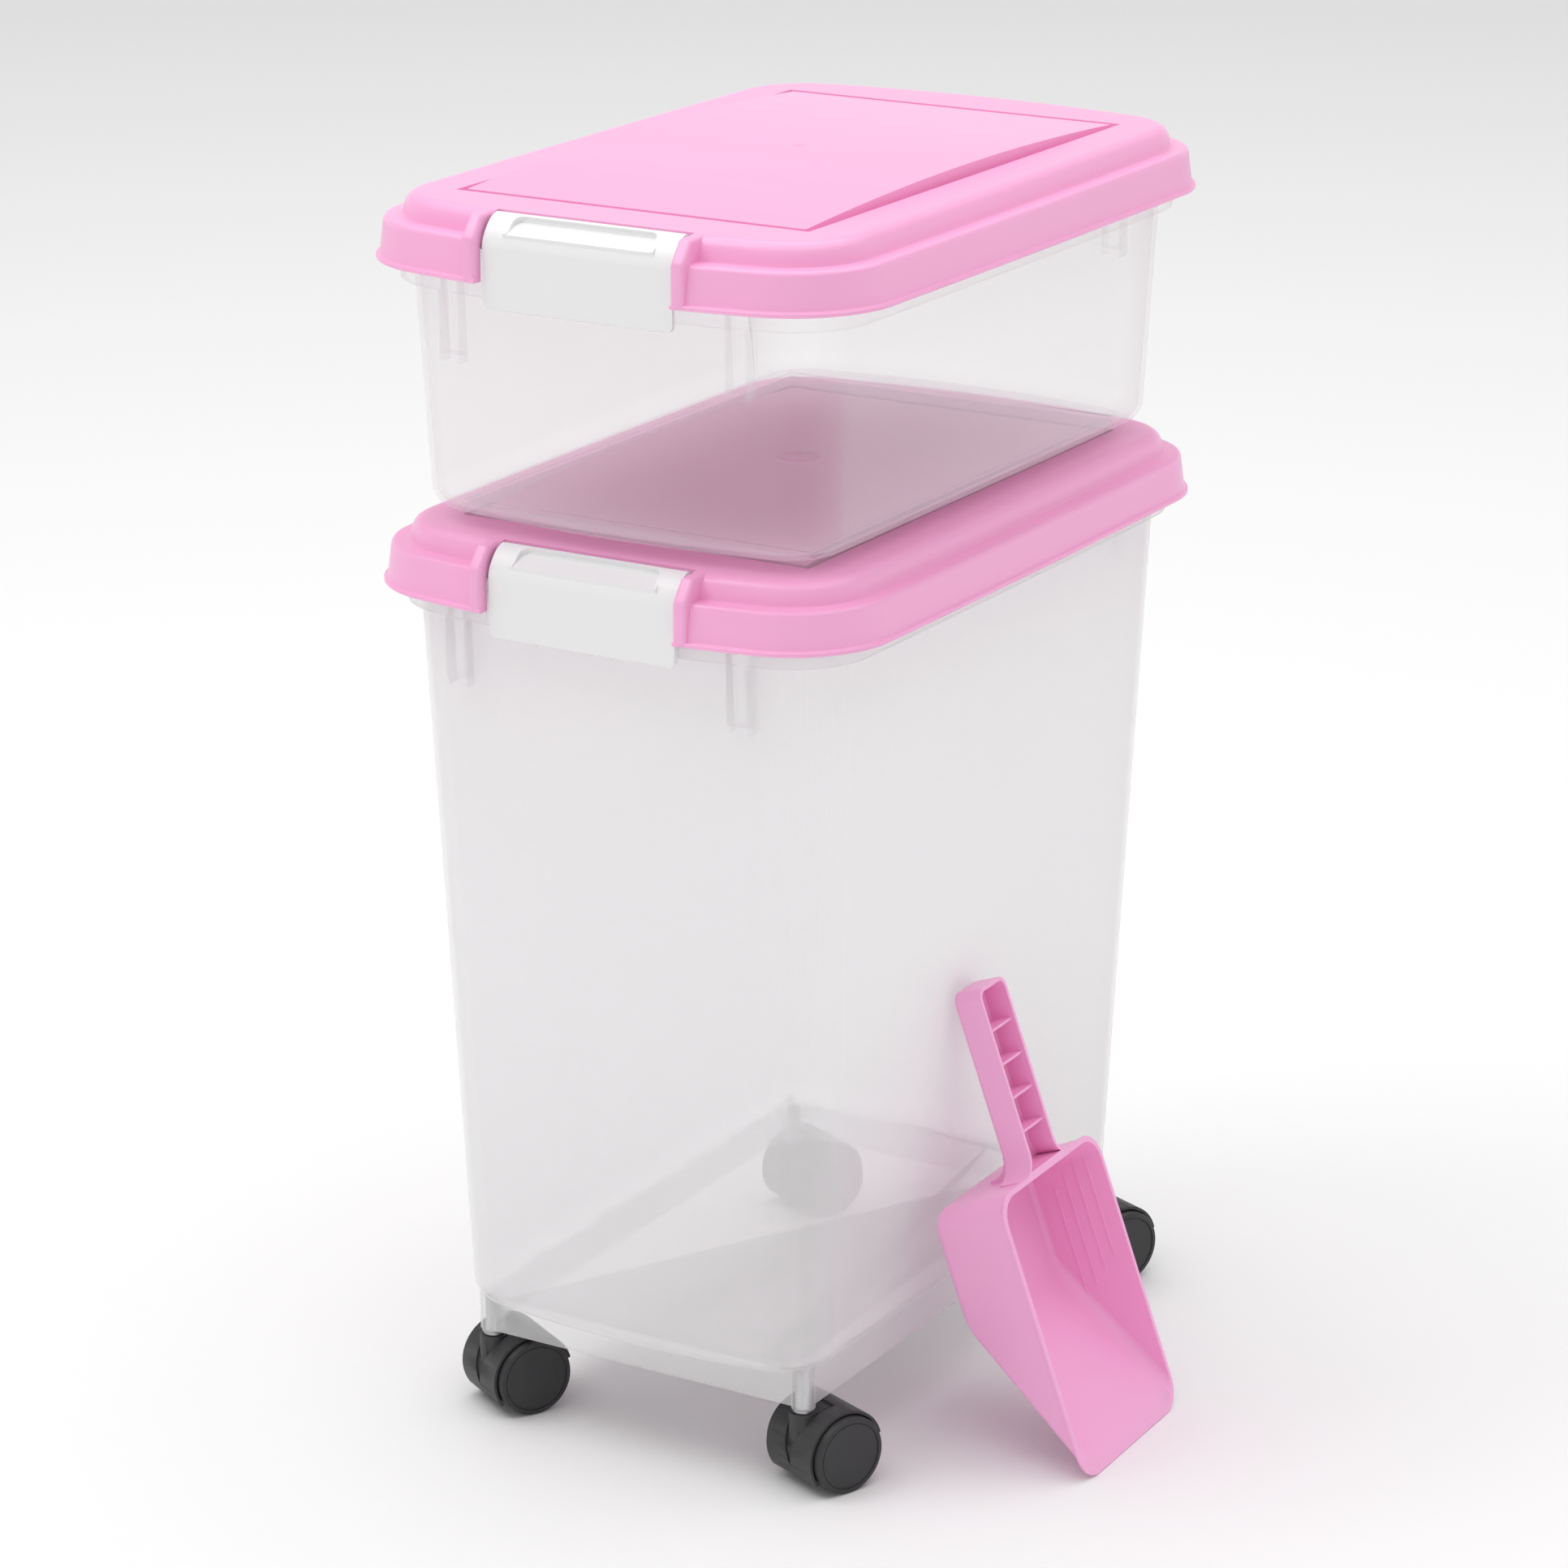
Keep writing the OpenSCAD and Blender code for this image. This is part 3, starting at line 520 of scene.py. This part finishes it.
lid_plastic = plastic("pink_moulded_lid", (0.95, 0.43, 0.7), 0.3, 260, 0.05, 0.02)
pattern = lid_shape()
for bin_name in ("tall", "shallow"):
    lid_z = node_box(bin_name + "_lid")[1][2] - lid_h - crown_h
    lid = bpy.data.objects.new(bin_name + "_lid_moulding", pattern.data.copy())
    bpy.context.scene.collection.objects.link(lid)
    lid.data.transform(Matrix.Translation(Vector((middle_x, 0, lid_z)) * MM))
    dress(lid, lid_plastic)
    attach(lid, bin_name + "_lid")
    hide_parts(bin_name + "_lid")
bpy.data.objects.remove(pattern)


# ---- Seals ----
# A soft pale ring is pressed into each lid and lies over the rim flange. It keeps its CAD shape.

seal_rubber = plastic("pale_seal", (0.72, 0.72, 0.71), 0.6, 700, 0.05, 0.02)
for bin_name in ("tall", "shallow"):
    ring = frame["nodes"][bin_name + "_lid_seal"]
    dress(ring, seal_rubber)


# ---- Latches ----
# A white flap that curls over the notch from two stub pins and hangs in front of the rim flange. Its
# top has a shallow finger recess with a step at the back, and its lower corners are round.

latch_face = -lid_l / 2 + 8
latch_bend = step_h - 3.4
latch_drop = 12.7
latch_t = 2.2


def latch_shape():
    """The latch moulding, with the lid's lip at height 0."""
    out_y, out_z = pivot_y - latch_face, lid_h - latch_bend
    turns = np.radians(np.linspace(0, 90, 33))

    def flat(value):
        return max(0.0, value) ** 1.22

    outer = [(pivot_y - out_y * flat(math.sin(t)), latch_bend + out_z * flat(math.cos(t))) for t in turns]
    inner = [(pivot_y - (out_y - latch_t) * flat(math.sin(t)),
        latch_bend + (out_z - latch_t) * flat(math.cos(t)))
             for t in turns[::-1]]
    foot = [(latch_face, -latch_drop + 1), (latch_face + 0.3, -latch_drop + 0.3),
        (latch_face + 1, -latch_drop),
            (latch_face + 2.4, -latch_drop), (latch_face + 2.85, -latch_drop + 0.5),
            (latch_face + 2.85, -latch_drop + 2.6),
            (latch_face + latch_t, -latch_drop + 3.6)]
    body = solid("latch", prism_x(outer + foot + inner, -latch_half, latch_half))
    across = Matrix.Translation(Vector((0, pivot_y, pivot_z)) * MM) @ Matrix.Rotation(math.pi / 2, 4, "Y")
    bed = [(pivot_y + 1.0, 29), (pivot_y + 0.5, 26.2), (pivot_y - 3, 25.4), (latch_face + 1.4, 21.4),
        (latch_face + 1, 24)]
    combine(body, "UNION", [solid("barrel", skin([(circle(3.3), -latch_half),
        (circle(3.3), latch_half)]), across),
                            solid("bed", prism_x(bed + [(pivot_y - 3, 29.5)], -41, 41))])
    w, h, r = 2 * latch_half, lid_h + latch_drop + 8, 4.0
    frame_z = (lid_h + 8 - latch_drop) / 2
    upright = Matrix.Translation(Vector((0, pivot_y, frame_z)) * MM) @ Matrix.Rotation(math.pi / 2, 4, "X")
    corners = solid("corners", skin([(rectangle(w, h, r, 8), -30), (rectangle(w, h, r, 8), 30)]), upright)
    combine(body, "INTERSECT", [corners])
    step_back = pivot_y - 1.2
    tilt = math.atan2(4.6, 10.6)
    plan = rectangle(78, 26, 4.5, 8)
    hand = Matrix.Translation(Vector((0, step_back, lid_h - 3.1)) * MM) @ Matrix.Rotation(tilt, 4, "X")
    scoop_out = solid("recess", skin([(plan - [0, 13], 0), (plan - [0, 13], 12)]), hand)
    combine(body, "DIFFERENCE", [scoop_out])
    soften(body, 0.55, steps=3)
    return combine(body, "UNION", [solid("pins",
        skin([(circle(1.98), -latch_half - 3.7), (circle(1.98), latch_half + 3.7)]), across)])


latch_plastic = plastic("white_latch", (0.86, 0.86, 0.865), 0.36, 300, 0.05, 0.01)
pattern = latch_shape()
for bin_name in ("tall", "shallow"):
    latch_z = node_box(bin_name + "_latch")[1][2] - lid_h
    latch = bpy.data.objects.new(bin_name + "_latch_moulding", pattern.data.copy())
    bpy.context.scene.collection.objects.link(latch)
    latch.data.transform(Matrix.Translation(Vector((middle_x, 0, latch_z)) * MM))
    dress(latch, latch_plastic)
    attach(latch, bin_name + "_latch")
    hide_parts(bin_name + "_latch")
bpy.data.objects.remove(pattern)


# ---- Hinge pins, stems and axles ----
# Plain drawn steel, pressed or slipped into the mouldings. They keep their CAD shapes and get fine
# drawing marks round them.

steel = bpy.data.materials.new("drawn_steel")
steel.use_nodes = True
steel_nodes, steel_link = steel.node_tree.nodes, steel.node_tree.links.new
steel_shader = steel_nodes["Principled BSDF"]
steel_shader.inputs["Metallic"].default_value = 1
steel_shader.inputs["Base Color"].default_value = (0.6, 0.6, 0.61, 1)
marks = steel_nodes.new("ShaderNodeTexNoise")
marks.inputs["Scale"].default_value = 900
steel_link(steel_nodes.new("ShaderNodeTexCoord").outputs["Object"], marks.inputs["Vector"])
marks_range = steel_nodes.new("ShaderNodeMapRange")
marks_range.inputs["To Min"].default_value = 0.22
marks_range.inputs["To Max"].default_value = 0.42
steel_link(marks.outputs["Fac"], marks_range.inputs["Value"])
steel_link(marks_range.outputs["Result"], steel_shader.inputs["Roughness"])
for name, node in frame["nodes"].items():
    if name.endswith(("_pins", "_stem", "_axle")):
        dress(node, steel)


# ---- Casters ----
# Each caster is a hood moulded in dark textured nylon and two wheels of the same nylon. The hood
# arches over both wheels, with a V between its lobes and a round boss where the stem goes in.

wheel_r, wheel_w, wheel_gap = 20.0, 13.3, 16.4
trail = 13.0
hood_in, hood_out = wheel_r + 0.9, wheel_r + 2.4
hood_half = wheel_gap / 2 + 9.6
web_half = wheel_gap / 2 - 2.2
hood_start, hood_end = 15, 216
boss_r, boss_top, pivot_foot = 7.2, 40.5, 23.5


def hood_shape():
    """A caster's hood on the swivel's axis, with the wheels behind it at +Y and the floor at height 0."""
    turns = np.radians(np.linspace(hood_start, hood_end, 44))
    outer = [(trail + hood_out * math.cos(t), wheel_r + hood_out * math.sin(t)) for t in turns]
    inner = [(trail + hood_in * math.cos(t), wheel_r + hood_in * math.sin(t)) for t in turns[::-1]]
    body = solid("hood", prism_x(outer + inner, -hood_half, hood_half))
    v_cut = [(0, wheel_r - 7), (boss_r + 1.8, boss_top + 5.5), (-boss_r - 1.8, boss_top + 5.5)]
    wedge_points = [(x, y, z) for y in (-14, 2 * boss_r - 1) for x, z in v_cut]
    wedge_faces = [(0, 1, 2), (5, 4, 3), (0, 3, 4, 1), (1, 4, 5, 2), (2, 5, 3, 0)]
    combine(body, "DIFFERENCE", [solid("v", (wedge_points, wedge_faces))])
    across = Matrix.Translation(Vector((0, trail, wheel_r)) * MM) @ Matrix.Rotation(math.pi / 2, 4, "Y")
    web = solid("web", skin([(circle(wheel_r - 3, steps=64), -web_half),
        (circle(wheel_r - 3, steps=64), web_half)]), across)
    high = solid("web", skin([(circle(hood_in + 0.5, steps=64), -web_half),
        (circle(hood_in + 0.5, steps=64), web_half)]), across)
    combine(high, "INTERSECT", [solid("part", block(-web_half - 1, web_half + 1, -hood_out - 5, 30,
        wheel_r - 8, 60))])
    boss = solid("boss", skin([(circle(boss_r, steps=40), pivot_foot - 3),
        (circle(boss_r, steps=40), boss_top)]))
    combine(body, "UNION", [web, high, boss])
    pivot = solid("bore", skin([(circle(3.1), pivot_foot), (circle(3.1), 60)]))
    axle = solid("bore", skin([(circle(2.6), -30), (circle(2.6), 30)]), across)
    rooms = [solid("room", skin([(circle(hood_in, steps=64), a), (circle(hood_in, steps=64), b)]), across)
             for a, b in ((web_half + 0.6, 40), (-40, -web_half - 0.6))]
    combine(body, "DIFFERENCE", [pivot, axle] + rooms)
    return soften(body, 0.5, angle=40, steps=3)


def wheel_shape():
    """A wheel about the X axis: a moulded rim, a flush face with a fine ring, and a hub behind."""
    h = wheel_w / 2
    rim = [(2.56, -h + 3), (5.5, -h + 3), (5.5, -h + 1), (16.4, -h + 1), (17, -h), (18.9, -h),
        (19.6, -h + 0.25), (20, -h + 1.1),
           (20, h - 1.1), (19.6, h - 0.3), (18.9, h), (17.5, h), (17.3, h - 0.55), (16.9, h - 0.55),
           (16.7, h - 0.25),
           (2.2, h - 0.05), (0.5, h - 0.05)]
    return skin([(circle(r, steps=72), x) for r, x in rim])


nylon = plastic("dark_textured_nylon", (0.034, 0.034, 0.036), 0.47, 1300, 0.14, 0.12)
wheel_nylon = plastic("dark_wheel_nylon", (0.028, 0.028, 0.03), 0.5, 1500, 0.12, 0.12)
hood_pattern = hood_shape()
spins = {joint["child"]: joint for joint in frame["joints"]}
for corner in ("front_left", "front_right", "rear_left", "rear_right"):
    swivel = spins[corner + "_caster"]["pos_m"]
    axis = spins[corner + "_wheel_b"]["axis"]
    turn = math.atan2(axis[1], axis[0])
    place = Matrix.Translation((swivel[0], swivel[1], 0)) @ Matrix.Rotation(turn, 4, "Z")
    hood = bpy.data.objects.new(corner + "_hood_moulding", hood_pattern.data.copy())
    bpy.context.scene.collection.objects.link(hood)
    hood.data.transform(place)
    dress(hood, nylon)
    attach(hood, corner + "_caster")
    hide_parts(corner + "_hood")
    for side, letter in ((-1, "a"), (1, "b")):
        at = Vector((side * (wheel_gap + wheel_w) / 2, trail, wheel_r)) * MM
        lay = Matrix.Rotation(side * math.pi / 2, 4, "Y")
        wheel = solid(f"{corner}_wheel_{letter}_moulding", wheel_shape(),
            place @ Matrix.Translation(at) @ lay)
        wheel.data.shade_smooth()
        wheel.data.set_sharp_from_angle(angle=math.radians(35))
        dress(wheel, wheel_nylon)
        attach(wheel, f"{corner}_wheel_{letter}")
        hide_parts(f"{corner}_wheel_{letter}")
bpy.data.objects.remove(hood_pattern)


# ---- Scoop ----
# One pink moulding: a bowl with a sloping front that runs out to the tip, and a channel-shaped handle
# with cross ribs, open on the same side as the bowl.

scoop_w, scoop_l, scoop_d = 108.0, 149.0, 45.0
slope_l, mouth_r = 83.0, 14.0
handle_l, handle_w, handle_d = 97.4, 28.0, 16.0
scoop_t = 2.0
rim_out, rim_t = 0.75, 1.5
lean, yaw = 20.0, 1.5
scoop_x, scoop_y, scoop_z = 210.984 + middle_x, -24.5, 1.2178
scoop_place = (Matrix.Translation(Vector((scoop_x, scoop_y, scoop_z)) * MM)
               @ Matrix.Rotation(math.radians(yaw), 4, "Z")
               @ Matrix.Rotation(math.radians(90 - lean), 4, "Y")
               @ Matrix.Rotation(math.pi / 2, 4, "Z"))


def bowl_loop(depth, inset):
    """The bowl's outline at a share of its depth, taken in by inset for its hollow."""
    tip = slope_l * depth + 1.5 * inset
    back = scoop_l - 3 * depth - inset
    half = scoop_w / 2 - 4.5 * depth - inset
    corner = mouth_r - 3 * depth - inset * 0.6
    plan = rectangle(2 * half, back - tip, corner, 12)
    return plan + [0, (tip + back) / 2]


def bowl(inset):
    """Loops of the bowl from its floor up to its mouth."""
    floor = -scoop_d + inset
    edge = 5.0 - inset
    loops = []
    for k in range(7):
        t = math.radians(90 * k / 6)
        side_in, up = edge * (1 - math.sin(t)), edge * (1 - math.cos(t))
        z = floor + up
        plan = bowl_loop(min(1.0, -z / scoop_d), inset + side_in)
        loops.append((plan, z))
    loops += [(bowl_loop(-z / scoop_d, inset), z) for z in (-24, -12, -5)]
    return loops


def handle_plan(inset):
    """The handle's outline from inside the bowl's rear rim to its round end, flaring into the rim."""
    top = scoop_l + handle_l - inset
    flare = 11.0
    start = scoop_l - 3
    right = []
    for t in np.radians(np.linspace(0, 90, 9)):
        right.append((handle_w / 2 - inset + flare * (1 - math.sin(t)), scoop_l + flare * (1 - math.cos(t))))
    right = [(handle_w / 2 - inset + flare, start)] + right
    r = 6.0 - inset
    for t in np.radians(np.linspace(0, 90, 8)):
        right.append((handle_w / 2 - inset - r + r * math.cos(t), top - r + r * math.sin(t)))
    left = [(-x, y) for x, y in right[::-1]]
    return np.array(right + left)


bowl_body = solid("scoop_moulding", skin(bowl(0) + [(bowl_loop(0, 0), -0.2)]))
brim = [(rectangle(scoop_w + 2 * rim_out - 0.6, scoop_l + 2 * rim_out - 0.6, mouth_r + 0.4, 12), -rim_t),
        (rectangle(scoop_w + 2 * rim_out, scoop_l + 2 * rim_out, mouth_r + 0.7, 12), -rim_t + 0.3),
        (rectangle(scoop_w + 2 * rim_out, scoop_l + 2 * rim_out, mouth_r + 0.7, 12), -0.3),
        (rectangle(scoop_w + 2 * rim_out - 0.6, scoop_l + 2 * rim_out - 0.6, mouth_r + 0.4, 12), 0)]
grip = [(handle_plan(2.2), -handle_d), (handle_plan(1.0), -handle_d + 0.4),
    (handle_plan(0.25), -handle_d + 1.3),
        (handle_plan(0), -handle_d + 2.5), (handle_plan(0), 0)]
gusset_r = 11.0
gusset = [(scoop_l - 4, -handle_d + 0.5), (scoop_l + gusset_r, -handle_d + 0.5)]
gusset += [(scoop_l + gusset_r * (1 - math.sin(t)), -handle_d - gusset_r * (1 - math.cos(t)))
           for t in np.radians(np.linspace(0, 90, 9))] + [(scoop_l - 4, -handle_d - gusset_r)]
combine(bowl_body, "UNION", [solid("brim", skin([(p + [0, scoop_l / 2], z) for p, z in brim])),
                             solid("grip", skin(grip)),
                             solid("gusset", prism_x(gusset[::-1], -handle_w / 2 + 1, handle_w / 2 - 1))])
channel = [(handle_plan(3.4), -handle_d + scoop_t),
    (handle_plan(scoop_t + 0.2), -handle_d + scoop_t + 1.2), (handle_plan(scoop_t), 1)]
channel = [(np.stack([p[:, 0], np.maximum(p[:, 1], scoop_l + scoop_t)], axis=1), z) for p, z in channel]
combine(bowl_body, "DIFFERENCE", [solid("hollow",
    skin(bowl(scoop_t) + [(bowl_loop(0, scoop_t), 0), (bowl_loop(0, scoop_t - 0.2), 1)])),
                                  solid("channel", skin(channel))])
soften(bowl_body, 0.45, angle=38)
bowl_body.data.transform(scoop_place)
scoop_plastic = plastic("pink_scoop", (0.97, 0.44, 0.73), 0.33, 240, 0.06, 0.02)
dress(bowl_body, scoop_plastic)
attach(bowl_body, "scoop")
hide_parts("scoop")


def repeated_bars(name, size, start, step, count, material):
    """A row of equal bars, moulded in one with the scoop, made by one node tree."""
    tree = bpy.data.node_groups.new(name, "GeometryNodeTree")
    tree.interface.new_socket("Geometry", in_out="OUTPUT", socket_type="NodeSocketGeometry")
    tree.interface.new_socket("Count", in_out="INPUT", socket_type="NodeSocketInt")
    for label in ("Bar Size", "Start", "Step"):
        tree.interface.new_socket(label, in_out="INPUT", socket_type="NodeSocketVector")
    new, link = tree.nodes.new, tree.links.new
    given, out = new("NodeGroupInput"), new("NodeGroupOutput")
    line, bar, copies = new("GeometryNodeMeshLine"), new("GeometryNodeMeshCube"), new("GeometryNodeInstanceOnPoints")
    real, finish = new("GeometryNodeRealizeInstances"), new("GeometryNodeSetMaterial")
    link(given.outputs["Count"], line.inputs["Count"])
    link(given.outputs["Start"], line.inputs["Start Location"])
    link(given.outputs["Step"], line.inputs["Offset"])
    link(given.outputs["Bar Size"], bar.inputs["Size"])
    link(line.outputs["Mesh"], copies.inputs["Points"])
    link(bar.outputs["Mesh"], copies.inputs["Instance"])
    link(copies.outputs["Instances"], real.inputs["Geometry"])
    link(real.outputs["Geometry"], finish.inputs["Geometry"])
    finish.inputs["Material"].default_value = material
    link(finish.outputs["Geometry"], out.inputs["Geometry"])
    bars = solid(name, ([(0, 0, 0)], []))
    row = bars.modifiers.new("row", "NODES")
    row.node_group = tree
    values = {"Count": count, "Bar Size": size, "Start": start, "Step": step}
    for item in tree.interface.items_tree:
        if item.name == "Count":
            row[item.identifier] = count
        elif item.name in values:
            row[item.identifier] = [v * MM for v in values[item.name]]
    return settle(bars)


pitch = 17.8
first_rib = scoop_l + handle_l - 5 - pitch
ridge_size, ridge_start, ridge_step = (0.9, 62, 0.9), (50.9, 114, -9), (-0.7, -7, -7)
side_ridges = repeated_bars("scoop_side_ridges", ridge_size, ridge_start, ridge_step, 4, scoop_plastic)
soften(side_ridges, 0.35)
side_ridges.data.transform(scoop_place)
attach(side_ridges, "scoop")
handle_ribs = repeated_bars("scoop_handle_ribs", (handle_w - 3.2, 1.5, handle_d - 3.4),
                            (0, first_rib, -handle_d / 2 - 0.4), (0, -pitch, 0), 4, scoop_plastic)
soften(handle_ribs, 0.4)
handle_ribs.data.transform(scoop_place)
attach(handle_ribs, "scoop")


# ---- Floor, light and camera ----
# A plain white floor under one large soft light from above and a small key light in front. The room
# is bright low down, where it stands behind the object, and dimmer higher up.

sweep = bpy.data.materials.new("white_sweep")
sweep.use_nodes = True
sweep.node_tree.nodes["Principled BSDF"].inputs["Base Color"].default_value = (0.92, 0.92, 0.92, 1)
sweep.node_tree.nodes["Principled BSDF"].inputs["Roughness"].default_value = 0.9
floor = solid("floor", ([(-9000, -9000, 0), (9000, -9000, 0), (9000, 9000, 0), (-9000, 9000, 0)],
    [(0, 1, 2, 3)]))
floor.data.materials.append(sweep)

world = bpy.data.worlds.new("room")
world.use_nodes = True
room, room_link = world.node_tree.nodes, world.node_tree.links.new
height = room.new("ShaderNodeSeparateXYZ")
room_link(room.new("ShaderNodeTexCoord").outputs["Generated"], height.inputs["Vector"])
walls = room.new("ShaderNodeValToRGB")
walls.color_ramp.elements[0].position = 0.1
walls.color_ramp.elements[0].color = (1, 1, 1, 1)
walls.color_ramp.elements[1].position = 0.9
walls.color_ramp.elements[1].color = (1, 1, 1, 1)
for place, shade in ((0.3, 0.42), (0.62, 0.42)):
    stop = walls.color_ramp.elements.new(place)
    stop.color = (shade, shade, shade, 1)
room_link(height.outputs["Z"], walls.inputs["Fac"])
room_link(walls.outputs["Color"], room["Background"].inputs["Color"])
room["Background"].inputs["Strength"].default_value = 1.0
bpy.context.scene.world = world


def soft_light(name, place, aim, size, power):
    """A square studio light that points at aim."""
    lamp = bpy.data.lights.new(name, "AREA")
    lamp.size = size
    lamp.energy = power
    obj = bpy.data.objects.new(name, lamp)
    obj.location = place
    obj.rotation_euler = (Vector(aim) - Vector(place)).to_track_quat("-Z", "Y").to_euler()
    bpy.context.scene.collection.objects.link(obj)


soft_light("overhead", (0, 0.3, 3.4), (0, 0, 0), 5.0, 72)
soft_light("key", (-1.3, -1.2, 2.6), (0, 0, 0.4), 1.2, 12)

camera_data = bpy.data.cameras.new("camera")
camera_data.lens = 114.73
camera_data.sensor_width = 36
camera_data.clip_end = 60
camera = bpy.data.objects.new("camera", camera_data)
camera.location = Vector((1230.92 + middle_x, -2088.61, 1094.30)) * MM
look = Vector((-6.44 + middle_x, -3.82, 307.99)) * MM - camera.location
camera.rotation_euler = look.to_track_quat("-Z", "Y").to_euler()
bpy.context.scene.collection.objects.link(camera)
bpy.context.scene.camera = camera
bpy.context.scene.view_settings.view_transform = "Standard"
bpy.context.scene.cycles.transparent_max_bounces = 32
